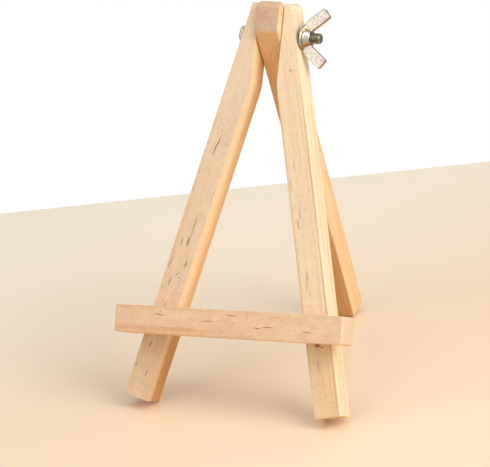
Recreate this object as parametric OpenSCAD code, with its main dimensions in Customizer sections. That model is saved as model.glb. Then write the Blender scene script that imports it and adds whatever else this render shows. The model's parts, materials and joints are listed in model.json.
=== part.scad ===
// Table-top display easel: a wooden A-frame with a ledge across the front and a
// rear leg that folds on a bolt clamped by a wing nut.
//
// Millimetres. +X is the viewer's right, +Y is the back, +Z is up. The origin is on
// the table, at the middle of the easel's footprint.
//
// Every piece is first drawn about the bolt: the origin on the bolt's axis, the
// sticks upright and the front faces towards -Y. stand() and lean_back() then put it
// in its place on the table.

/* [Sticks] */
// Depth of every stick, from its front face to its back face
stick_d = 10; // [8:0.5:14]
// Width of a front leg, seen from the front
leg_w = 9.5; // [9:0.5:13]
// Width of the rear leg, seen from the front
rear_w = 9.5; // [8:0.5:14]
// Side play between the rear leg and each front leg
side_play = 0.4; // [0.05:0.05:0.5]

/* [Front frame] */
// Angle of each front leg from the middle line
splay = 13.5; // [10:0.5:14.5]
// Height of the front legs above the bolt, at their back face
leg_top = 13; // [9:0.5:14]
// How much lower the top ends are cut at their front face
top_slant = 1.5; // [0:0.1:2]
// Length below the bolt of the flat cheek that faces the rear leg
cheek_drop = 18.5; // [16:0.5:22]
// Length of a front leg from the end of its cheek to its foot
leg_len = 121.5; // [110:0.5:180]
// Radius of the soft corner where the cheek meets the sloping side
bend_r = 25; // [5:1:40]

/* [Ledge] */
// Length of the ledge, side to side
ledge_w = 90; // [80:1:120]
// Height of the ledge's front face
ledge_h = 10; // [6:0.5:14]
// Distance from the bolt down to the middle of the ledge
ledge_drop = 106; // [80:0.5:112]
// How far the ledge is out of square, its right end higher
ledge_tilt = 2; // [-3:0.5:3]

/* [Rear leg] */
// Angle between the rear leg and the front frame when the easel stands
open_angle = 45.5; // [40:0.5:55]
// Length of the rear leg from the bolt to its foot
rear_len = 133; // [120:0.5:135]
// Height of the rear leg above the bolt
rear_top = 12.5; // [8:0.5:14]
// Size of the bevel on the front edge of its top end
bevel = 6.5; // [2:0.5:7]

/* [Bolt] */
// Outer diameter of the thread
bolt_d = 4; // [3:0.5:5]
// Length of the bolt under its head
bolt_len = 30; // [30:1:36]
// Diameter of the domed head
head_d = 7; // [6.5:0.5:9]
// Height of the domed head
head_h = 2.2; // [2:0.1:4]

/* [Wing nut] */
// Diameter of the flange that presses on the leg
flange_d = 9.6; // [8:0.2:9.8]
// Height of the threaded hub
hub_h = 3.4; // [3:0.1:5]
// Angle of the wings from the bolt's axis
wing_angle = 39; // [25:1:45]
// Distance from the axis to the middle of a wing's tip
wing_reach = 9.5; // [8:0.1:11]
// Height of the middle of a wing's tip above the leg
wing_height = 8.6; // [8:0.1:12]
// Width of a wing
wing_w = 4.2; // [3:0.1:5]
// Thickness of a wing
wing_t = 2; // [1:0.1:2.5]

/* [Hidden] */
$fn = 96;

BEECH = [0.91, 0.77, 0.58];
BEECH_LIGHT = [0.94, 0.82, 0.64];
BEECH_WARM = [0.86, 0.68, 0.47];
ZINC_DARK = [0.42, 0.41, 0.33];
ZINC_BRIGHT = [0.83, 0.78, 0.68];

// Holes: the bolt turns in the wood, and the nut turns on the bolt.
hole_d = bolt_d + 0.15;
nut_bore_d = bolt_d + 0.1;
// Space left under the bolt's head and under the nut's flange
seat_gap = 0.05;

// Front leg, from the bolt: x runs away from the middle line, z runs up.
cheek_x = rear_w / 2 + side_play;
side_width = leg_w / cos(splay);
foot_inner = [cheek_x + leg_len * sin(splay), -cheek_drop - leg_len * cos(splay)];
foot_outer = foot_inner + leg_w * [cos(splay), sin(splay)];
top_outer = [cheek_x + side_width - (cheek_drop + leg_top) * tan(splay), leg_top];
// Distance from the bend's corner to where its arc starts and ends
bend_run = bend_r * tan(splay / 2);
// Where the sloping outer side crosses the height of the bolt
outer_at_bolt = cheek_x + side_width - cheek_drop * tan(splay);
// A flat seat of radius r first meets the sloping side at this distance from the middle
function seat_x(r) = outer_at_bolt + r * tan(splay) + seat_gap;
head_seat = seat_x(head_d / 2);
nut_seat = seat_x(flange_d / 2);

// Standing place: the front feet rest on their inner back corners, and the rear leg
// on the front edge of its foot. The lean is the slope of the line between them.
front_contact = [stick_d / 2, foot_inner[1]];
rear_contact = [rear_len * sin(open_angle) - stick_d / 2 * cos(open_angle),
                -rear_len * cos(open_angle) - stick_d / 2 * sin(open_angle)];
lean = atan2(rear_contact[1] - front_contact[1], rear_contact[0] - front_contact[0]);
rear_tilt = open_angle - lean;
pivot_z = front_contact[0] * sin(lean) - front_contact[1] * cos(lean);
// The footprint runs from the front feet to the back of the rear foot
frontmost = -stick_d / 2 * cos(lean) + foot_inner[1] * sin(lean);
rearmost = stick_d / 2 * cos(rear_tilt) + rear_len * sin(rear_tilt);
pivot_y = -(frontmost + rearmost) / 2;

// Flange and wings of the nut
flange_t = 0.9;
flange_ease = 0.3;
hub_base_r = 3.5;
hub_top_r = 2.9;
wing_len = 12;
wing_round = 0.9;
wing_clear = 0.4;

// Domed head: the sphere that gives a rim of this height
head_rim = 1;
dome_h = head_h - head_rim;
dome_r = (pow(head_d / 2, 2) + pow(dome_h, 2)) / (2 * dome_h);
thread_chamfer = 0.5;
recess_w = 0.9;
recess_len = 3.8;
recess_depth = 1.2;

// Puts what is drawn about the bolt where the bolt is, tilted back by an angle
module stand(tilt) {
    translate([0, pivot_y, pivot_z]) rotate([tilt, 0, 0]) children();
}

// The front frame, with the bolt and the nut, leans back
module lean_back() {
    stand(-lean) children();
}

// Extrudes an outline drawn in x and z, by depth, evenly about y = 0
module front_outline(depth) {
    rotate([90, 0, 0]) linear_extrude(height = depth, center = true) children();
}

// Extrudes an outline drawn in y and z, by width, evenly about x = 0
module side_outline(width) {
    rotate([90, 0, 90]) linear_extrude(height = width, center = true) children();
}

// Turns what is drawn along z so that it runs along the bolt, towards +X
module along_bolt() {
    rotate([0, 90, 0]) children();
}

// What the slanting cut takes off the top end of a front leg
module top_cut() {
    side_outline(4 * rear_w) polygon([
        [-stick_d / 2, leg_top - top_slant],
        [stick_d / 2, leg_top],
        [stick_d / 2, 2 * leg_top],
        [-stick_d / 2, 2 * leg_top]
    ]);
}

module bolt_hole() {
    along_bolt() cylinder(h = 4 * rear_w, d = hole_d, center = true);
}

// Outline of the right front leg, with an arc over the corner below the cheek
module leg_outline() {
    corner = [cheek_x, -cheek_drop];
    arc_top = corner + [0, bend_run];
    arc_foot = corner + bend_run * [sin(splay), -cos(splay)];
    polygon([[cheek_x, leg_top], arc_top, arc_foot, foot_inner, foot_outer, top_outer]);
    intersection() {
        polygon([arc_top, corner, arc_foot]);
        translate(arc_top + [bend_r, 0]) circle(r = bend_r, $fn = 360);
    }
}

module front_leg() {
    difference() {
        front_outline(stick_d) leg_outline();
        top_cut();
        bolt_hole();
    }
}

module front_leg_right() {
    color(BEECH_LIGHT) lean_back() front_leg();
}

module front_leg_left() {
    color(BEECH) lean_back() mirror([1, 0, 0]) front_leg();
}

// The ledge is fixed across the front faces of the two front legs
module ledge() {
    color(BEECH) lean_back()
        translate([0, -stick_d, -ledge_drop]) rotate([0, -ledge_tilt, 0])
            cube([ledge_w, stick_d, ledge_h], center = true);
}

// The rear leg hangs on the bolt between the cheeks, and swings back to stand
module rear_leg() {
    half = stick_d / 2;
    color(BEECH_WARM) stand(rear_tilt) difference() {
        side_outline(rear_w) polygon([
            [-half, -rear_len],
            [half, -rear_len],
            [half, rear_top],
            [-half + bevel, rear_top],
            [-half, rear_top - bevel]
        ]);
        bolt_hole();
    }
}

// Domed head with a cross recess, drawn from its seat upwards
module bolt_head() {
    difference() {
        intersection() {
            cylinder(h = head_h, d = head_d);
            translate([0, 0, head_h - dome_r]) sphere(r = dome_r);
        }
        for (turn = [0, 90])
            rotate([0, 0, turn]) translate([-recess_len / 2, -recess_w / 2, head_h - recess_depth])
                cube([recess_len, recess_w, head_h]);
    }
}

module pivot_bolt() {
    color(ZINC_DARK) lean_back() along_bolt() {
        translate([0, 0, -head_seat]) mirror([0, 0, 1]) bolt_head();
        translate([0, 0, -head_seat]) cylinder(h = bolt_len - thread_chamfer, d = bolt_d);
        translate([0, 0, bolt_len - head_seat - thread_chamfer])
            cylinder(h = thread_chamfer, d1 = bolt_d, d2 = bolt_d - 2 * thread_chamfer);
    }
}

// Outline of one wing, x away from the axis and y along it, with a rounded tip
module wing_outline() {
    run = wing_len - wing_round;
    intersection() {
        translate([wing_reach, wing_height]) rotate(-wing_angle) translate([0, -wing_len]) {
            translate([-wing_w / 2, 0]) square([wing_w, run]);
            translate([wing_round - wing_w / 2, 0]) square([wing_w - 2 * wing_round, wing_len]);
            for (side = [-1, 1])
                translate([side * (wing_w / 2 - wing_round), run]) circle(r = wing_round);
        }
        translate([nut_bore_d / 2, wing_clear]) square(2 * wing_len);
    }
}

module wing_nut() {
    flange_r = flange_d / 2;
    color(ZINC_BRIGHT) lean_back() along_bolt() translate([0, 0, nut_seat]) difference() {
        union() {
            rotate_extrude() polygon([
                [0, 0],
                [flange_r - flange_ease, 0],
                [flange_r, flange_ease],
                [flange_r, flange_t],
                [hub_base_r, flange_t + flange_ease],
                [hub_top_r, hub_h],
                [0, hub_h]
            ]);
            for (side = [0, 180])
                rotate([0, 0, side]) rotate([90, 0, 0])
                    linear_extrude(height = wing_t, center = true) wing_outline();
        }
        translate([0, 0, -hub_h]) cylinder(h = 3 * hub_h, d = nut_bore_d);
    }
}

front_leg_left();
front_leg_right();
ledge();
rear_leg();
pivot_bolt();
wing_nut();
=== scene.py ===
"""Looks of the table easel: bare beech sticks with eased edges and sawn faces, a
threaded bolt and a plated wing nut, on a plain pale table in soft studio light.

Lengths are in millimetres until a point goes to Blender, which takes metres.
"""

import json
import math

import bmesh
import bpy
from mathutils import Matrix, Vector

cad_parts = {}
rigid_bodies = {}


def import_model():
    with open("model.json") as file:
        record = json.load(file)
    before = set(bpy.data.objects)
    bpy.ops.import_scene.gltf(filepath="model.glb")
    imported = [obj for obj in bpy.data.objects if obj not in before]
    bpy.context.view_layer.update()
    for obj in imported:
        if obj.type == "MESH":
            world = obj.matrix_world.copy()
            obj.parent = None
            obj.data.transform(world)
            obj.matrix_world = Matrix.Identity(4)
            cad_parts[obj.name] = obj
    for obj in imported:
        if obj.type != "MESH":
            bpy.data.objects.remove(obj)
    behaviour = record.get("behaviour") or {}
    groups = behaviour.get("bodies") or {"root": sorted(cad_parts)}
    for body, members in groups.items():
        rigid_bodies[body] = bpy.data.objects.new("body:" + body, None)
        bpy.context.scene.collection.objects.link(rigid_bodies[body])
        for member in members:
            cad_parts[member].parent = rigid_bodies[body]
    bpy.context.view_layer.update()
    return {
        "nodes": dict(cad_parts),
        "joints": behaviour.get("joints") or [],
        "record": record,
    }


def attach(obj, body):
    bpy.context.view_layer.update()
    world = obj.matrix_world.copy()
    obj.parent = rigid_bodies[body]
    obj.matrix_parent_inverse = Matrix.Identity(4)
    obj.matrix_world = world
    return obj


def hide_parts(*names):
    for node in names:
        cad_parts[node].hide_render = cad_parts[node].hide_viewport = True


for leftover in list(bpy.data.objects):
    bpy.data.objects.remove(leftover)

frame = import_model()
nodes = frame["nodes"]
MM = 0.001
TAU = 2 * math.pi

# ---------------------------------------------------------------- places, from the frame

JOINTS = {joint["name"]: joint for joint in frame["joints"]}
MOUNTS = {mount["name"]: mount for mount in frame["record"]["mounts"]}
PIVOT = Vector(JOINTS["rear_leg_fold"]["pos_m"])
RIGHT = Vector((1, 0, 0))
FRAME_FRONT = Vector(MOUNTS["picture_lean"]["axis"]).normalized()
FRAME_UP = FRAME_FRONT.cross(RIGHT)

STICK = 10.0
LEG_WIDTH = 9.5
REAR_WIDTH = 9.5
SIDE_PLAY = 0.4
SPLAY = math.radians(13.5)
OPEN_ANGLE = math.radians(45.5)
CHEEK_X = REAR_WIDTH / 2 + SIDE_PLAY
CHEEK_DROP = 18.5
LEDGE_DROP = 106.0
LEDGE_TILT = math.radians(2)


class Axes:
    """A stick's own axes: across and out of its front face, and along its grain."""

    def __init__(self, origin, across, front, along):
        self.origin = origin
        self.across = across
        self.front = front
        self.along = along


def on_frame(x, up, front=0.0):
    """A point of the leaning frame, in millimetres from the bolt."""
    return PIVOT + (RIGHT * x + FRAME_UP * up + FRAME_FRONT * front) * MM


def leg_axes(side):
    """Axes of a front leg, side -1 on the left and 1 on the right.
    Its origin is on its middle line, beside the end of its cheek."""
    half = LEG_WIDTH / 2
    origin = on_frame(side * (CHEEK_X + half * math.cos(SPLAY)), half * math.sin(SPLAY) - CHEEK_DROP)
    along = FRAME_UP * math.cos(SPLAY) - RIGHT * side * math.sin(SPLAY)
    across = RIGHT * math.cos(SPLAY) + FRAME_UP * side * math.sin(SPLAY)
    return Axes(origin, across, FRAME_FRONT, along)


def ledge_axes():
    """Axes of the ledge, whose right end is a little higher."""
    turn = Matrix.Rotation(-LEDGE_TILT, 3, -FRAME_FRONT)
    return Axes(on_frame(0, -LEDGE_DROP, STICK), turn @ FRAME_UP, FRAME_FRONT, turn @ RIGHT)


def rear_axes():
    """Axes of the rear leg, turned on the bolt from the front frame."""
    turn = Matrix.Rotation(OPEN_ANGLE, 3, "X")
    return Axes(PIVOT, RIGHT, turn @ FRAME_FRONT, turn @ FRAME_UP)


# ---------------------------------------------------------------- material graphs

class Graph:
    """The nodes of a material or of the world, with a short way to add one."""

    def __init__(self, owner):
        owner.use_nodes = True
        self.owner = owner
        self.tree = owner.node_tree
        self.tree.nodes.clear()

    def feed(self, socket, value):
        """Links an input to another node's output, or sets it to a plain value."""
        if isinstance(value, bpy.types.NodeSocket):
            self.tree.links.new(value, socket)
        elif value is not None:
            socket.default_value = value

    def add(self, kind, *values, **settings):
        """Adds a node. The values go to its inputs in order, and None leaves one alone."""
        node = self.tree.nodes.new("ShaderNode" + kind)
        for key, value in settings.items():
            setattr(node, key, value)
        for socket, value in zip(node.inputs, values):
            self.feed(socket, value)
        return node

    def math(self, operation, *values):
        return self.add("Math", *values, operation=operation).outputs[0]

    def times(self, *values):
        result = values[0]
        for value in values[1:]:
            result = self.math("MULTIPLY", result, value)
        return result

    def plus(self, a, b):
        return self.math("ADD", a, b)

    def either(self, a, b):
        return self.math("MAXIMUM", a, b)

    def dot(self, a, b):
        return self.add("VectorMath", a, b, operation="DOT_PRODUCT").outputs["Value"]

    def ramp(self, value, low, high, out_low=0.0, out_high=1.0):
        """A smooth step from out_low, at low, to out_high, at high."""
        node = self.add("MapRange", value, low, high, out_low, out_high)
        node.interpolation_type = "SMOOTHSTEP"
        return node.outputs[0]

    def mix(self, factor, a, b):
        """The colour a, or b where the factor is 1."""
        node = self.add("Mix", data_type="RGBA")
        self.feed(node.inputs["Factor"], factor)
        self.feed(node.inputs[6], a)
        self.feed(node.inputs[7], b)
        return node.outputs[2]

    def stretched(self, point, x, y, z, shift=0.0):
        """The point scaled by a number on each axis, and moved."""
        scaled = self.add("VectorMath", point, (x, y, z), operation="MULTIPLY").outputs[0]
        return self.add("VectorMath", scaled, (shift, shift, shift), operation="ADD").outputs[0]

    def noise(self, point, detail=2.0, roughness=0.5):
        return self.add("TexNoise", point, None, 1.0, detail, roughness).outputs[0]

    def surface(self, colour, roughness, height, depth, **plain):
        """The shader, with bump from a height between 0 and 1 and a depth in millimetres."""
        shader = self.add("BsdfPrincipled")
        self.feed(shader.inputs["Base Color"], colour)
        self.feed(shader.inputs["Roughness"], roughness)
        for name, value in plain.items():
            shader.inputs[name.replace("_", " ")].default_value = value
        bump = self.add("Bump")
        bump.inputs["Strength"].default_value = 1.0
        bump.inputs["Distance"].default_value = depth * MM
        self.feed(bump.inputs["Height"], height)
        self.feed(shader.inputs["Normal"], bump.outputs[0])
        self.add("OutputMaterial", shader.outputs[0])
        return self.owner


def rgb(red, green, blue):
    """A colour given in sRGB from 0 to 255, as Blender's linear colour."""
    def linear(value):
        value /= 255
        return value / 12.92 if value <= 0.04045 else ((value + 0.055) / 1.055) ** 2.4
    return (linear(red), linear(green), linear(blue), 1.0)


# ---------------------------------------------------------------- beech

RUDDY = rgb(222, 168, 120)
DARK_STREAK = rgb(206, 152, 106)
PALE_STREAK = rgb(250, 226, 192)
LATE_WOOD = rgb(190, 132, 84)
# Orange of long grain lines, and painted shade on an eased edge where a line lies on one
GRAIN_LINE_AND_EDGE_SHADE = rgb(200, 138, 82)
FIBRE = rgb(180, 132, 94)
GRIT = rgb(176, 128, 92)
RAY_FLECK = rgb(156, 100, 62)
SAW_MARK = rgb(150, 104, 74)
KNOT = rgb(158, 74, 20)
END_PORE = rgb(160, 116, 84)


class Saw:
    """Lines that a saw left on one face: their angle there, spacing, strength and face.
    They fade out above a height, where the wood was sanded more."""

    def __init__(self, angle, spacing, strength, face="front", fades_at=1000):
        self.angle = math.radians(angle)
        self.spacing = spacing
        self.strength = strength
        self.face = face
        self.fades_at = fades_at


class Beech:
    """What differs from stick to stick.

    The colours are sRGB: front is the front face and low is it near the foot, side and
    back are the sides near the front and near the back and foot is them near the foot,
    cut is the sawn ends, and stain is the long flecks. Low and foot are painted shade, darker
    low on the stick, such as under the ledge; side is lighter than back, a painted highlight
    towards the front edge; and front and side differ partly as beech's faces do and partly by
    painted light. The seed moves the grain. The heart is the middle of the growth rings on the
    stick's section and rings is their strength, small is how many of the small flecks show,
    and eased is the radius of the edges.

    A line is (across, front, half its width, strength), a fleck is (across, along, half its
    length, half its width, slant, strength), and a knot is (across, along, half its width,
    half its height, strength)."""

    def __init__(self, front, side, back, cut, stain, seed, saw, heart, rings, small,
                 low=None, foot=None, eased=1.0, lines=(), flecks=(), knots=()):
        self.front = front
        self.low = low or front
        self.side = side
        self.back = back
        self.foot = foot or back
        self.cut = cut
        self.stain = stain
        self.seed = seed
        self.saw = saw
        self.heart = heart
        self.rings = rings
        self.small = small
        self.eased = eased
        self.lines = lines
        self.flecks = flecks
        self.knots = knots


def stick_point(graph, axes):
    """The place on a stick in its own axes, in millimetres: across, front and along."""
    place = graph.add("TexCoord").outputs["Object"]
    away = graph.add("VectorMath", place, axes.origin, operation="SUBTRACT").outputs[0]
    parts = [graph.dot(away, axis / MM) for axis in (axes.across, axes.front, axes.along)]
    return graph.add("CombineXYZ", *parts).outputs[0], parts


def facing(graph, direction, low, high):
    """1 where the surface faces a direction, with the cosines of where it fades."""
    normal = graph.add("TexCoord").outputs["Normal"]
    return graph.ramp(graph.dot(normal, direction.normalized()), low, high)


def fleck_mask(graph, across, along, fleck):
    """A thin dark spindle along the grain."""
    at, height, half, width, slant, strength = fleck
    rise = graph.plus(along, -height)
    reach = graph.times(rise, 1 / half)
    body = graph.math("SUBTRACT", 1.0, graph.times(reach, reach))
    off = graph.math("SUBTRACT", graph.plus(across, -at), graph.times(rise, slant))
    gap = graph.math("SUBTRACT", graph.times(body, width), graph.math("ABSOLUTE", off))
    return graph.ramp(gap, -0.6 * width, 0.5 * width, 0.0, strength)


def line_mask(graph, across, front, line):
    """A long straight line along the grain, at a place on the stick's section. One put on an eased edge
    is painted shade there.
    """
    at, depth, width, strength = line
    x = graph.plus(across, -at)
    y = graph.plus(front, -depth)
    distance = graph.math("SQRT", graph.plus(graph.times(x, x), graph.times(y, y)))
    return graph.ramp(distance, width, 0.3 * width, 0.0, strength)


def knot_mask(graph, across, along, knot):
    """A soft round stain with a ragged rim."""
    at, height, wide, tall, strength = knot
    x = graph.times(graph.plus(across, -at), 1 / wide)
    y = graph.times(graph.plus(along, -height), 1 / tall)
    distance = graph.math("SQRT", graph.plus(graph.times(x, x), graph.times(y, y)))
    return graph.ramp(distance, 1.0, 0.35, 0.0, strength)


def growth_rings(graph, point, parts, heart, seed):
    """Thin darker lines of late wood, round a heart that lies outside the stick."""
    across, front, along = parts
    sway = graph.noise(graph.stretched(point, 0.03, 0.03, 0.008, seed), 1.0)
    x = graph.plus(across, -heart[0])
    y = graph.plus(front, -heart[1])
    radius = graph.math("SQRT", graph.plus(graph.times(x, x), graph.times(y, y)))
    year = graph.plus(graph.times(radius, 0.3), graph.times(sway, 3.0))
    pace = graph.noise(graph.stretched(point, 0.16, 0.16, 0.004, seed + 1), 1.0)
    phase = graph.math("FRACT", graph.plus(year, graph.times(pace, 2.5)))
    rise = graph.ramp(phase, 0.5, 0.95)
    fall = graph.ramp(phase, 1.0, 0.96)
    cloud = graph.noise(graph.stretched(point, 0.3, 0.3, 0.02, seed + 2), 1.0)
    return graph.times(rise, fall, graph.ramp(cloud, 0.35, 0.65, 0.15, 1.0))


def small_flecks(graph, point, seed, density):
    """The short ray flecks that beech has all over, each a stretched cell of its own."""
    cells = graph.add("TexVoronoi", graph.stretched(point, 1.5, 1.5, 0.42, seed), None, 1.0)
    spot = graph.ramp(cells.outputs["Distance"], 0.26, 0.1)
    pick = graph.add("SeparateColor", cells.outputs["Color"]).outputs[0]
    return graph.times(spot, graph.ramp(pick, 1 - density, 1.1 - density))


def saw_lines(graph, point, parts, axes, saw, seed):
    """Evenly spaced faint ridges across one face, broken and uneven as a saw leaves them."""
    across, _, along = parts
    run = graph.plus(graph.times(across, -math.sin(saw.angle)), graph.times(along, math.cos(saw.angle)))
    wobble = graph.times(graph.noise(graph.stretched(point, 0.12, 0.12, 0.12, seed), 1.0), 0.8)
    phase = graph.times(graph.plus(run, wobble), TAU / saw.spacing)
    wave = graph.plus(graph.times(graph.math("SINE", phase), 0.5), 0.5)
    patches = graph.noise(graph.stretched(point, 0.35, 0.35, 0.22, seed + 7), 2.0)
    gaps = graph.noise(graph.stretched(point, 2.0, 2.0, 2.0, seed + 23), 2.0)
    uneven = graph.times(graph.ramp(patches, 0.3, 0.7, 0.25, 1.0), graph.ramp(gaps, 0.38, 0.6, 0.3, 1.2))
    fade = graph.ramp(along, saw.fades_at + 12, saw.fades_at - 12, 0.3, 1.0)
    towards = axes.front if saw.face == "front" else axes.front + axes.along
    return graph.times(graph.math("POWER", wave, 2.0), uneven, fade, facing(graph, towards, 0.9, 0.98))


def either_way(graph, direction, low, high):
    """1 where the surface faces a direction or its opposite."""
    return graph.either(facing(graph, direction, low, high), facing(graph, -direction, low, high))


# Where along a stick the painted shade low on it starts, and where it is full
LOW_SHADE_STARTS = -84.0
LOW_SHADE_FULL = -98.0


def bare_colour(graph, axes, look, parts, cut):
    """The colours of the front, the sides and the sawn ends, before any grain. They hold painted
    light: painted shade low on the stick, a painted highlight on the sides towards the front
    edge, and front and side tones that differ partly as beech's faces do and partly by painted light.
    """
    _, front, along = parts
    # Painted shade low on the stick, on the front and, stronger towards the back, on the sides
    painted_low_shade = graph.ramp(along, LOW_SHADE_STARTS, LOW_SHADE_FULL)
    low_shade_towards_back = graph.ramp(front, 4.0, 0.0, 0.3, 0.95)
    # The sides painted lighter towards the front edge, a painted highlight
    side = graph.mix(graph.ramp(front, 3.0, -3.5), rgb(*look.side), rgb(*look.back))
    side = graph.mix(graph.times(painted_low_shade, low_shade_towards_back), side, rgb(*look.foot))
    face = graph.mix(painted_low_shade, rgb(*look.front), rgb(*look.low))
    # Front and side tones: partly beech's own faces, partly painted light
    colour = graph.mix(either_way(graph, axes.across, 0.55, 0.9), face, side)
    return graph.mix(cut, colour, rgb(*look.cut))


def draw_grain_lines_and_edge_shade(graph, look, point, parts, streak, colour):
    """Adds the long lines, which sway a little and fade out towards the top: lines of the grain, and
    painted shade along eased edges.
    """
    across, front, along = parts
    sway = graph.noise(graph.stretched(point, 0.02, 0.02, 0.03, look.seed + 19), 1.0)
    swaying = graph.plus(across, graph.times(graph.plus(sway, -0.5), 1.5))
    uneven = graph.ramp(streak, 0.3, 0.6, 0.6, 1.0)
    fade = graph.ramp(along, 4, -16, 0.1, 1.0)
    for line in look.lines:
        mask = graph.times(line_mask(graph, swaying, front, line), uneven, fade)
        colour = graph.mix(mask, colour, GRAIN_LINE_AND_EDGE_SHADE)
    return colour


def draw_marks(graph, axes, look, point, parts, colour):
    """Adds the long flecks and the knots to the front face, and says where the flecks are."""
    across, _, along = parts
    on_front = facing(graph, axes.front, 0.7, 0.9)
    wave = graph.plus(graph.noise(graph.stretched(point, 0.5, 0.5, 0.6, look.seed + 13), 2.0), -0.5)
    wavy = graph.plus(across, graph.times(wave, 0.7))
    ragged = graph.plus(across, graph.times(wave, 2.4))
    flecks = 0.0
    for fleck in look.flecks:
        flecks = graph.either(flecks, fleck_mask(graph, wavy, along, fleck))
    flecks = graph.times(flecks, on_front)
    colour = graph.mix(flecks, colour, rgb(*look.stain))
    for knot in look.knots:
        mask = graph.times(knot_mask(graph, ragged, along, knot), on_front)
        colour = graph.mix(mask, colour, KNOT)
    return colour, flecks


def beech(name, axes, look):
    """Bare sanded beech, its grain along the stick."""
    graph = Graph(bpy.data.materials.new(name))
    point, parts = stick_point(graph, axes)
    seed = look.seed
    slope = facing(graph, axes.front + axes.along, 0.9, 0.98)
    cut = graph.either(either_way(graph, axes.along, 0.6, 0.9), slope)
    broad = graph.noise(graph.stretched(point, 0.09, 0.09, 0.018, seed), 2.0)
    streak = graph.noise(graph.stretched(point, 0.9, 0.9, 0.035, seed + 3), 3.0, 0.6)
    fibre = graph.noise(graph.stretched(point, 6.0, 6.0, 0.35, seed + 5), 3.0, 0.65)
    grit = graph.noise(graph.stretched(point, 2.6, 2.6, 2.2, seed + 11), 2.0, 0.6)
    pores = graph.noise(graph.stretched(point, 3.4, 3.4, 3.4, seed + 17), 2.0, 0.7)
    rings = growth_rings(graph, point, parts, look.heart, seed)
    flecks = graph.times(
        small_flecks(graph, point, seed, look.small),
        graph.plus(graph.times(either_way(graph, axes.front, 0.8, 0.95), 0.75), 0.12))
    saw = saw_lines(graph, point, parts, axes, look.saw, seed)

    colour = bare_colour(graph, axes, look, parts, cut)
    colour = graph.mix(graph.ramp(broad, 0.35, 0.7, 0.0, 0.2), colour, RUDDY)
    colour = graph.mix(graph.ramp(streak, 0.48, 0.75, 0.0, 0.26), colour, DARK_STREAK)
    colour = graph.mix(graph.ramp(streak, 0.45, 0.2, 0.0, 0.3), colour, PALE_STREAK)
    colour = graph.mix(graph.times(rings, look.rings), colour, LATE_WOOD)
    colour = draw_grain_lines_and_edge_shade(graph, look, point, parts, streak, colour)
    colour = graph.mix(graph.ramp(fibre, 0.5, 0.7, 0.0, 0.36), colour, FIBRE)
    colour = graph.mix(graph.ramp(grit, 0.52, 0.72, 0.0, 0.32), colour, GRIT)
    colour = graph.mix(graph.times(flecks, 0.4), colour, RAY_FLECK)
    colour = graph.mix(graph.times(saw, look.saw.strength), colour, SAW_MARK)
    colour, marks = draw_marks(graph, axes, look, point, parts, colour)
    colour = graph.mix(graph.times(cut, graph.ramp(pores, 0.5, 0.72, 0.0, 0.35)), colour, END_PORE)

    height = graph.plus(graph.times(fibre, 0.45), graph.times(streak, 0.3))
    for dent in (graph.times(saw, 0.8), graph.times(marks, 0.3), graph.times(cut, pores, 0.8)):
        height = graph.math("SUBTRACT", height, dent)
    roughness = graph.plus(graph.times(fibre, 0.16), 0.46)
    return graph.surface(colour, roughness, height, 0.09, Specular_IOR_Level=0.32)


# ---------------------------------------------------------------- sticks

WELD_GAP = 0.001
EASE_STEPS = 4
EDGE_ANGLE = math.radians(30)
FLAT_ANGLE = math.radians(0.5)


def ease_edges(stick, width):
    """Rounds the long edges and the ends, as sanding leaves them."""
    weld = stick.modifiers.new("weld", "WELD")
    weld.merge_threshold = WELD_GAP * MM
    bevel = stick.modifiers.new("eased edges", "BEVEL")
    bevel.width = width * MM
    bevel.segments = EASE_STEPS
    bevel.limit_method = "ANGLE"
    bevel.angle_limit = EDGE_ANGLE
    bevel.use_clamp_overlap = True
    normals = stick.modifiers.new("flat faces", "WEIGHTED_NORMAL")
    normals.mode = "FACE_AREA"
    normals.weight = 100


# Its low front and its foot are painted shade under the ledge; its side, lighter than its back, is a
# painted highlight near the front edge
LEFT_LEG = Beech(
    front=(229, 204, 174), low=(219, 193, 157), side=(252, 226, 182), back=(230, 182, 128),
    foot=(194, 143, 80), cut=(226, 192, 156), stain=(116, 74, 48),
    saw=Saw(angle=62, spacing=0.9, strength=0.36, fades_at=-10),
    seed=11.0, heart=(40, -120), rings=0.06, small=0.5,
    flecks=[
        (-0.5, -25, 4, 0.2, 0.1, 0.9),
        (-4, -36, 1, 0.15, 0, 0.5),
        (1, -55.5, 5, 0.15, 0, 0.75),
        (0.5, -61.5, 2, 0.35, 0, 0.8),
        (-2, -62, 2, 0.2, 0, 0.7),
        (-3.5, -70.5, 2.5, 0.2, 0.15, 0.75),
        (2.5, -69.5, 1.5, 0.25, 0, 0.8),
        (0.5, -74, 1, 0.2, 0.5, 0.7),
        (-1.5, -77.5, 2, 0.2, 0, 0.7),
        (1.5, -75, 0.5, 0.2, 0.5, 0.6),
        (-3.5, -80, 1, 0.15, 0, 0.6),
        (-0.5, -86, 1.5, 0.15, 0.2, 0.6),
        (-2.5, -89, 1, 0.15, 0, 0.5),
        (-1, -101.5, 1.5, 0.2, 0.2, 0.7),
        (1, -112, 1.5, 0.2, 0, 0.7),
        (-4, -110, 1, 0.2, 0, 0.7),
    ],
)
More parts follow.
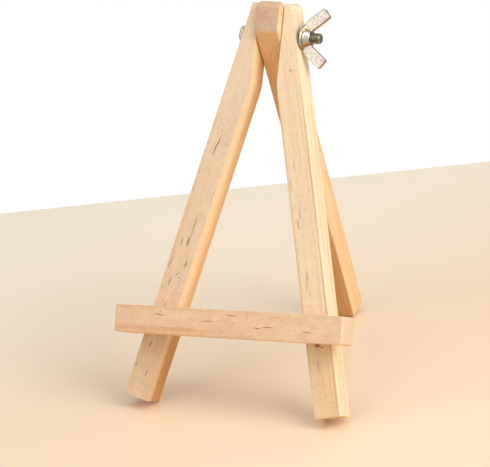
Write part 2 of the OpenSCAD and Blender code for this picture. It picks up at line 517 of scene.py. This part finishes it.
RIGHT_LEG = Beech(
    front=(234, 210, 176), low=(225, 197, 158), side=(250, 232, 196), back=(250, 228, 188),
    foot=(246, 226, 186), cut=(236, 204, 164), stain=(164, 110, 68),
    saw=Saw(angle=18, spacing=0.95, strength=0.12, fades_at=-40),
    seed=31.0, heart=(-150, 40), rings=0.06, small=0.5,
    # The lines at 4.75 and -4.75 on the front lie on its eased edges and are painted shade there; the
    # others are lines of the grain
    lines=[
        (4.75, 5, 0.7, 0.6),
        (-4.75, 5, 0.8, 0.5),
        (4.75, 1, 0.5, 0.3),
        (4.75, -2.5, 0.9, 0.2),
        (3, 5, 0.4, 0.2),
    ],
    flecks=[
        (1.5, 4.5, 0.5, 0.3, 0, 0.8),
        (-1.5, -30, 2, 0.25, 0, 0.35),
        (-3.5, -37, 3, 0.3, 0, 0.35),
        (-1.5, -47.5, 2.5, 0.35, 0, 0.4),
        (-2.5, -51.5, 2.5, 0.35, 0, 0.55),
        (-1.5, -70.5, 2.5, 0.3, 0, 0.6),
        (-2, -74, 2, 0.25, 0, 0.5),
        (-1, -77, 1.5, 0.25, 0, 0.4),
        (-1, -103, 2.5, 0.25, 0, 0.6),
    ],
    knots=[(-0.5, -95.5, 1.5, 1, 0.9), (1, -96.5, 1, 0.5, 0.8)],
)
LEDGE = Beech(
    front=(229, 198, 164), side=(238, 208, 168), back=(234, 200, 156),
    cut=(231, 210, 177), stain=(158, 92, 56),
    saw=Saw(angle=2, spacing=0.62, strength=0.48),
    seed=53.0, heart=(-90, -60), rings=0.06, small=0.5, eased=0.8,
    lines=[(-3, 5, 1.2, 0.45), (-4.5, 5, 0.6, 0.4), (4.5, 5, 0.4, 0.3)],
    flecks=[
        (2, -27, 2, 0.2, -0.1, 0.85),
        (3, -26.5, 1, 0.15, -0.1, 0.6),
        (0.5, -8, 2.5, 0.15, 0, 0.8),
        (3, 1.5, 2.5, 0.15, 0, 0.9),
        (-1, 12, 1.5, 0.2, 0, 0.8),
        (-0.5, 16, 2.5, 0.15, 0, 0.9),
        (-1.5, 31.5, 2, 0.15, -0.15, 0.8),
        (3, 43, 1.5, 0.1, 0, 0.5),
        (4, -41, 2, 0.1, 0, 0.5),
    ],
)
# Its front, turned down, is painted darker than its sides as painted shade, and darker still low down
REAR_LEG = Beech(
    front=(226, 178, 124), low=(203, 151, 88), side=(244, 214, 168), back=(240, 204, 152),
    cut=(208, 178, 150), stain=(140, 90, 54),
    saw=Saw(angle=-32, spacing=0.64, strength=0.75, face="slope"),
    seed=71.0, heart=(70, 80), rings=0.08, small=0.4,
    flecks=[
        (-0.5, -4.5, 1.5, 0.15, 0, 0.7),
        (2.5, -5, 1, 0.15, 0, 0.6),
        (0.5, -13, 1.5, 0.15, 0, 0.7),
        (-1.5, -21, 1, 0.15, 0.1, 0.6),
        (2, -30, 1.5, 0.15, 0, 0.5),
        (-0.5, -58, 2, 0.15, 0, 0.5),
        (1.5, -88, 2, 0.15, 0, 0.5),
        (-2, -112, 2, 0.15, 0, 0.5),
    ],
)

CORNER_ROUND = 2.5
CORNER_STEPS = 8
# The top's outer corner is the only one that is above and outside these
ABOVE_BOLT = 10.0
OUTSIDE = 6.5


def round_cornered_leg():
    """The right front leg again, with the outer corner of its top sanded round."""
    name = "front_leg_right"
    mesh = bpy.data.meshes.new(name + "_rounded")
    work = bmesh.new()
    work.from_mesh(nodes[name].data)
    bmesh.ops.remove_doubles(work, verts=work.verts, dist=WELD_GAP * MM)
    bmesh.ops.dissolve_limit(work, angle_limit=FLAT_ANGLE, verts=work.verts, edges=work.edges)
    corner = [edge for edge in work.edges if all(at_top_corner(vertex.co) for vertex in edge.verts)]
    bmesh.ops.bevel(
        work, geom=corner, affect="EDGES", offset=CORNER_ROUND * MM, segments=CORNER_STEPS, profile=0.5)
    work.to_mesh(mesh)
    work.free()
    leg = bpy.data.objects.new(name + "_rounded", mesh)
    bpy.context.scene.collection.objects.link(leg)
    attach(leg, "front_frame")
    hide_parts(name)
    return leg


def at_top_corner(place):
    """Whether a point of the right front leg is at the outer corner of its top."""
    rise = (place - PIVOT).dot(FRAME_UP) / MM
    return rise > ABOVE_BOLT and place.x / MM > OUTSIDE


def dress_sticks():
    """Gives each stick its own beech and its eased edges."""
    sticks = [
        ("front_leg_left", nodes["front_leg_left"], leg_axes(-1), LEFT_LEG),
        ("front_leg_right", round_cornered_leg(), leg_axes(1), RIGHT_LEG),
        ("ledge", nodes["ledge"], ledge_axes(), LEDGE),
        ("rear_leg", nodes["rear_leg"], rear_axes(), REAR_LEG),
    ]
    for name, stick, axes, look in sticks:
        stick.data.materials.clear()
        stick.data.materials.append(beech(name + "_beech", axes, look))
        ease_edges(stick, look.eased)


# ---------------------------------------------------------------- hardware

BOLT_D = 4.0
BOLT_LEN = 30.0
PITCH = 0.7
THREAD_DEPTH = 0.43
STEPS_PER_TURN = 8
INTO_HEAD = 0.4
CHAMFER = 0.5
HEAD_D = 7.0
HEAD_H = 2.2
HEAD_RIM = 1.0
RECESS_W = 0.9
RECESS_LEN = 3.8
RECESS_DEPTH = 1.2
FLANGE_D = 9.6
HUB_BASE_R = 3.5
HUB_H = 3.4
NUT_BORE_D = 4.1
WING_ANGLE = math.radians(39)
WING_REACH = 9.5
WING_HEIGHT = 8.6
WING_W = 4.2
WING_T = 2.0
WING_LEN = 9.2
WING_ROUND = 0.7
CAST_VOXEL = 0.16
CAST_SMOOTHING = 5
SEAT_GAP = 0.05
OUTER_AT_BOLT = CHEEK_X + LEG_WIDTH / math.cos(SPLAY) - CHEEK_DROP * math.tan(SPLAY)


def seat(radius):
    """Where a flat seat of this radius first meets the sloping outer side of a leg, to a
    thousandth of a millimetre."""
    return round(OUTER_AT_BOLT + radius * math.tan(SPLAY) + SEAT_GAP, 3)


HEAD_SEAT = seat(HEAD_D / 2)
NUT_SEAT = seat(FLANGE_D / 2)


def on_bolt(x, back, up):
    """A point in metres from one about the bolt: x along it to the right, in millimetres."""
    return on_frame(x, up, -back)


def new_piece(name, points, faces, smooth=True):
    """A mesh object from points about the bolt."""
    mesh = bpy.data.meshes.new(name)
    mesh.from_pydata([on_bolt(*point) for point in points], [], faces)
    mesh.update()
    for polygon in mesh.polygons:
        polygon.use_smooth = smooth
    piece = bpy.data.objects.new(name, mesh)
    bpy.context.scene.collection.objects.link(piece)
    return piece


def turned(name, profile, segments=64, radius_at=None):
    """A closed piece turned about the bolt from (x, radius) points, its ends on the axis."""
    points = [(profile[0][0], 0.0, 0.0)]
    for x, radius in profile[1:-1]:
        for step in range(segments):
            angle = TAU * step / segments
            here = radius_at(x, angle, radius) if radius_at else radius
            points.append((x, -here * math.sin(angle), here * math.cos(angle)))
    points.append((profile[-1][0], 0.0, 0.0))
    rings = len(profile) - 2
    last = len(points) - 1
    faces = []
    for step in range(segments):
        after = (step + 1) % segments
        faces.append((0, 1 + after, 1 + step))
        for ring in range(rings - 1):
            a = 1 + ring * segments
            b = a + segments
            faces.append((a + step, a + after, b + after, b + step))
        top = 1 + (rings - 1) * segments
        faces.append((top + step, top + after, last))
    piece = new_piece(name, points, faces)
    outwards(piece.data)
    return piece


def outwards(mesh):
    """Turns every face of a closed mesh outwards."""
    work = bmesh.new()
    work.from_mesh(mesh)
    bmesh.ops.recalc_face_normals(work, faces=work.faces)
    work.to_mesh(mesh)
    work.free()


def slab(name, outline, thickness):
    """A flat closed piece from (x, up) points, of a thickness front to back."""
    count = len(outline)
    points = [(x, side * thickness / 2, up) for side in (-1, 1) for x, up in outline]
    faces = [tuple(range(count)), tuple(range(2 * count - 1, count - 1, -1))]
    for index in range(count):
        after = (index + 1) % count
        faces.append((index, after, after + count, index + count))
    piece = new_piece(name, points, faces, smooth=False)
    outwards(piece.data)
    return piece


def combine(piece, other, operation):
    """Joins another piece to this one, or cuts it out, and removes the other."""
    boolean = piece.modifiers.new(operation.lower(), "BOOLEAN")
    boolean.operation = operation
    boolean.solver = "EXACT"
    boolean.object = other
    settle(piece)
    bpy.data.objects.remove(other)


def settle(piece):
    """Puts the result of a piece's modifiers into its mesh."""
    bpy.context.view_layer.update()
    shaped = piece.evaluated_get(bpy.context.evaluated_depsgraph_get())
    mesh = bpy.data.meshes.new_from_object(shaped)
    piece.modifiers.clear()
    piece.data = mesh


def thread_radius(x, angle, radius):
    """Radius of a right-hand thread under the plain outline's radius."""
    phase = (x / PITCH - angle / TAU) % 1.0
    ridge = 1 - abs(2 * phase - 1)
    fill = min(max((ridge - 0.12) / 0.7, 0.0), 1.0)
    return min(radius, BOLT_D / 2 - THREAD_DEPTH * (1 - fill))


def threaded_shank():
    """The shank, threaded to under the head, with a chamfer at its free end."""
    start = -HEAD_SEAT - INTO_HEAD
    end = BOLT_LEN - HEAD_SEAT
    steps = round(BOLT_LEN / PITCH * STEPS_PER_TURN)
    profile = [(start, 0.0)]
    for step in range(steps + 1):
        x = start + (end - start) * step / steps
        profile.append((x, BOLT_D / 2 - max(0.0, x - (end - CHAMFER))))
    profile.append((end, 0.0))
    return turned("shank", profile, 40, thread_radius)


def domed_head():
    """A pan head with a softened rim and a cross recess."""
    base = -HEAD_SEAT
    radius = HEAD_D / 2
    rise = HEAD_H - HEAD_RIM
    dome = (radius * radius + rise * rise) / (2 * rise)
    profile = [(base, 0.0), (base, radius - 0.25), (base - 0.08, radius - 0.08), (base - 0.25, radius)]
    profile.append((base - HEAD_RIM + 0.15, radius))
    for step in range(1, 16):
        angle = math.asin(radius / dome) * (1 - step / 16)
        x = base - HEAD_H + dome - dome * math.cos(angle)
        profile.append((x, dome * math.sin(angle)))
    profile.append((base - HEAD_H, 0.0))
    head = turned("head", profile, 64)
    floor = base - HEAD_H + RECESS_DEPTH
    top = base - HEAD_H - 1.0
    for width, length in ((RECESS_W, RECESS_LEN), (RECESS_LEN, RECESS_W)):
        cutter = tapered_block("recess", floor, top, width, length)
        combine(head, cutter, "DIFFERENCE")
    return head


def tapered_block(name, floor, top, width, length):
    """A block that narrows from its top to its floor, both places along the bolt."""
    points = []
    for x, scale in ((floor, 0.78), (top, 1.1)):
        for back, up in ((-1, -1), (1, -1), (1, 1), (-1, 1)):
            points.append((x, back * width / 2 * scale, up * length / 2 * scale))
    faces = [(0, 1, 2, 3), (7, 6, 5, 4), (0, 4, 5, 1), (1, 5, 6, 2), (2, 6, 7, 3), (3, 7, 4, 0)]
    piece = new_piece(name, points, faces, smooth=False)
    outwards(piece.data)
    return piece


def make_bolt():
    """The threaded bolt with its head, in place of the plain CAD one."""
    bolt = threaded_shank()
    combine(bolt, domed_head(), "UNION")
    bolt.name = "threaded_bolt"
    bolt.data.materials.clear()
    bolt.data.materials.append(dark_zinc())
    shade_by_angle(bolt, 35)
    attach(bolt, "bolt")
    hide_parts("pivot_bolt")


def shade_by_angle(piece, degrees):
    """Smooth shading, with edges sharper than this many degrees kept sharp."""
    for polygon in piece.data.polygons:
        polygon.use_smooth = True
    piece.data.set_sharp_from_angle(angle=math.radians(degrees))


def wing_outline():
    """Outline of the upper wing, from inside the hub out to its rounded tip."""
    along = Vector((math.cos(WING_ANGLE), math.sin(WING_ANGLE)))
    across = Vector((-math.sin(WING_ANGLE), math.cos(WING_ANGLE)))
    tip = Vector((WING_HEIGHT, WING_REACH))
    half = WING_W / 2
    points = []
    for centre_side, first in ((1, 90), (-1, 0)):
        centre = tip + across * centre_side * (half - WING_ROUND) - along * WING_ROUND
        for step in range(5):
            angle = math.radians(first - step * 22.5)
            points.append(centre + (along * math.cos(angle) + across * math.sin(angle)) * WING_ROUND)
    outer = tip + across * half
    base = 0.35
    root = 1.0
    foot = outer - along * ((outer.x - base) / along.x)
    points.append(tip - across * half - along * WING_LEN)
    points.append(Vector((2.6, root)))
    points.append(Vector((base, root)))
    points.append(Vector((base, foot.y - 0.5)))
    points.append(foot + along * 0.9)
    return [(NUT_SEAT + point.x, point.y) for point in points]


def make_nut():
    """A cast wing nut: hub, flange and wings grown together, then bored."""
    hub = HUB_BASE_R
    flange = FLANGE_D / 2
    profile = [(0.0, 0.0), (0.0, flange - 0.25), (0.08, flange - 0.08), (0.3, flange), (0.75, flange)]
    profile += [(0.95, flange - 0.25), (1.05, hub + 0.45), (1.25, hub + 0.1), (1.6, hub - 0.05)]
    profile += [(HUB_H - 0.25, 2.95), (HUB_H, 2.8), (HUB_H, 0.0)]
    nut = turned("cast_wing_nut", [(NUT_SEAT + x, radius) for x, radius in profile], 72)
    upper = wing_outline()
    for side in (1, -1):
        wing = slab("wing", [(x, side * up) for x, up in upper], WING_T)
        combine(nut, wing, "UNION")
    remesh = nut.modifiers.new("grown together", "REMESH")
    remesh.mode = "VOXEL"
    remesh.voxel_size = CAST_VOXEL * MM
    soften = nut.modifiers.new("cast edges", "SMOOTH")
    soften.factor = 0.5
    soften.iterations = CAST_SMOOTHING
    settle(nut)
    bore = turned("bore", bore_profile(), 64)
    combine(nut, bore, "DIFFERENCE")
    nut.data.materials.clear()
    nut.data.materials.append(bright_zinc())
    shade_by_angle(nut, 40)
    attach(nut, "nut")
    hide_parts("wing_nut")


def bore_profile():
    """The bore, with a countersink where the bolt comes out."""
    radius = NUT_BORE_D / 2
    wide = radius + 0.45
    low = NUT_SEAT - 1.0
    face = NUT_SEAT + HUB_H
    top = face + 0.6
    return [(low, 0.0), (low, radius), (face - 0.4, radius), (face + 0.1, wide), (top, wide), (top, 0.0)]


def dark_zinc():
    """Dull zinc on the bolt, with a trace of yellow."""
    graph = Graph(bpy.data.materials.new("bolt_zinc"))
    place = graph.add("TexCoord").outputs["Object"]
    cloud = graph.noise(graph.stretched(place, 900, 900, 900, 3.0), 3.0, 0.6)
    grain = graph.noise(graph.stretched(place, 6000, 6000, 6000, 9.0), 2.0, 0.6)
    away = graph.add("VectorMath", place, PIVOT, operation="SUBTRACT").outputs[0]
    flat = graph.add("VectorMath", away, (0.0, 1 / MM, 1 / MM), operation="MULTIPLY").outputs[0]
    radius = graph.add("VectorMath", flat, operation="LENGTH").outputs["Value"]
    thread = graph.mix(graph.ramp(cloud, 0.35, 0.7), rgb(158, 150, 122), rgb(122, 116, 92))
    colour = graph.mix(graph.ramp(radius, 1.9, 2.6), thread, rgb(214, 208, 190))
    roughness = graph.plus(graph.times(cloud, 0.2), 0.26)
    return graph.surface(colour, roughness, grain, 0.01, Metallic=1.0)


def bright_zinc():
    """Bright zinc on the nut, with the faint yellow and pink bloom of its plating, and painted light:
    faces towards the front painted lighter, a painted highlight, the others darker, painted shade,
    and faces turned down or towards the leg painted orange, a painted reflection of the wood.
    """
    graph = Graph(bpy.data.materials.new("nut_zinc"))
    place = graph.add("TexCoord").outputs["Object"]
    bloom = graph.noise(graph.stretched(place, 260, 260, 260, 5.0), 2.0, 0.5)
    cloud = graph.noise(graph.stretched(place, 1100, 1100, 1100, 7.0), 3.0, 0.6)
    grain = graph.noise(graph.stretched(place, 5200, 5200, 5200, 1.0), 2.0, 0.6)
    # Painted light: lighter faces to the front, darker faces elsewhere, and an orange painted reflection
    # of the wood on faces turned down or to the left
    flat = facing(graph, FRAME_FRONT, 0.6, 0.9)
    under = graph.either(facing(graph, -FRAME_UP, 0.3, 0.8), facing(graph, -RIGHT, 0.2, 0.6))
    faces = graph.mix(graph.ramp(bloom, 0.38, 0.62), rgb(220, 214, 194), rgb(222, 204, 204))
    edges = graph.mix(under, rgb(188, 178, 150), rgb(180, 132, 84))
    colour = graph.mix(flat, edges, faces)
    colour = graph.mix(graph.ramp(cloud, 0.5, 0.64, 0.0, 0.5), colour, rgb(136, 128, 104))
    roughness = graph.plus(graph.times(cloud, 0.3), 0.14)
    return graph.surface(colour, roughness, grain, 0.012, Metallic=1.0)


# ---------------------------------------------------------------- table, light and camera

CAMERA_AIM = Vector((-16.0, -0.3, 50.5)) * MM
CAMERA_DISTANCE = 1055.0 * MM
CAMERA_AZIMUTH = 26.55
CAMERA_ELEVATION = 19.53
CAMERA_ROLL = -4.83
SENSOR = 36.0
LENS = 207.4
TABLE_SIZE = 422.0
TABLE_TURN = 4.0
LIGHT_AIM = Vector((0, 0, 70)) * MM
BRIGHT_SIDE = Vector((0.62, -0.35, 0.70)).normalized()
STUDIO_WHITE = (1.0, 0.985, 0.96, 1.0)
PLAIN_WHITE = (1.0, 1.0, 1.0, 1.0)


def make_table():
    """A plain pale table top, nearly square to the camera."""
    half = TABLE_SIZE / 2 * MM
    mesh = bpy.data.meshes.new("table_top")
    corners = [(-half, -half, 0), (half, -half, 0), (half, half, 0), (-half, half, 0)]
    mesh.from_pydata(corners, [], [(0, 1, 2, 3)])
    table = bpy.data.objects.new("table_top", mesh)
    table.rotation_euler.z = math.radians(CAMERA_AZIMUTH + TABLE_TURN)
    bpy.context.scene.collection.objects.link(table)
    graph = Graph(bpy.data.materials.new("pale_table"))
    place = graph.add("TexCoord").outputs["Object"]
    soft = graph.noise(graph.stretched(place, 8, 8, 8), 2.0)
    fine = graph.noise(graph.stretched(place, 900, 900, 900), 2.0)
    far = graph.ramp(graph.dot(place, (-0.4, 1.0, 0.0)), -0.02, 0.2)
    colour = graph.mix(soft, rgb(242, 216, 187), rgb(245, 220, 192))
    colour = graph.mix(far, colour, rgb(255, 242, 222))
    roughness = graph.plus(graph.times(soft, 0.05), 0.22)
    mesh.materials.append(graph.surface(colour, roughness, fine, 0.004, Specular_IOR_Level=0.5))


def make_world():
    """Even white all round for the camera, and a soft studio for what it lights."""
    graph = Graph(bpy.data.worlds.new("studio"))
    way = graph.add("TexCoord").outputs["Generated"]
    strength = graph.add("MapRange", graph.dot(way, BRIGHT_SIDE), -0.6, 1.0, 0.28, 0.84).outputs[0]
    studio = graph.add("Background", STUDIO_WHITE, strength).outputs[0]
    plain = graph.add("Background", PLAIN_WHITE).outputs[0]
    to_camera = graph.add("LightPath").outputs["Is Camera Ray"]
    graph.add("OutputWorld", graph.add("MixShader", to_camera, studio, plain).outputs[0])
    bpy.context.scene.world = graph.owner
    bpy.context.scene.view_settings.view_transform = "Standard"


def soft_light(name, azimuth, elevation, distance, size, watts, colour=(1.0, 0.97, 0.92)):
    """A square area light that looks at the middle of the easel. Its size and distance
    are in metres."""
    data = bpy.data.lights.new(name, "AREA")
    data.shape = "SQUARE"
    data.size = size
    data.energy = watts
    data.color = colour
    lamp = bpy.data.objects.new(name, data)
    towards = direction(azimuth, elevation)
    turn = towards.to_track_quat("Z", "Y").to_matrix().to_4x4()
    lamp.matrix_world = Matrix.Translation(LIGHT_AIM + towards * distance) @ turn
    lamp.visible_camera = False
    bpy.context.scene.collection.objects.link(lamp)


def direction(azimuth, elevation):
    """A direction seen from the easel in degrees, azimuth 0 in front and 90 at the right."""
    turn = math.radians(azimuth)
    rise = math.radians(elevation)
    return Vector((math.sin(turn) * math.cos(rise), -math.cos(turn) * math.cos(rise), math.sin(rise)))


def make_camera():
    """The camera, from the front right and a little above, tilted as a hand held it."""
    towards = direction(CAMERA_AZIMUTH, CAMERA_ELEVATION)
    data = bpy.data.cameras.new("camera")
    data.lens = LENS
    data.sensor_width = SENSOR
    camera = bpy.data.objects.new("camera", data)
    look = towards.to_track_quat("Z", "Y").to_matrix()
    turn = look @ Matrix.Rotation(math.radians(CAMERA_ROLL), 3, "Z")
    camera.matrix_world = Matrix.Translation(CAMERA_AIM + towards * CAMERA_DISTANCE) @ turn.to_4x4()
    bpy.context.scene.collection.objects.link(camera)
    bpy.context.scene.camera = camera


make_camera()
make_world()
make_table()
soft_light("key", azimuth=72, elevation=34, distance=0.8, size=0.5, watts=3.8)
soft_light("fill", azimuth=-25, elevation=20, distance=1.0, size=0.7, watts=1.3, colour=(1.0, 0.98, 0.96))
soft_light("top", azimuth=10, elevation=72, distance=0.8, size=0.6, watts=1.4)
dress_sticks()
make_bolt()
make_nut()
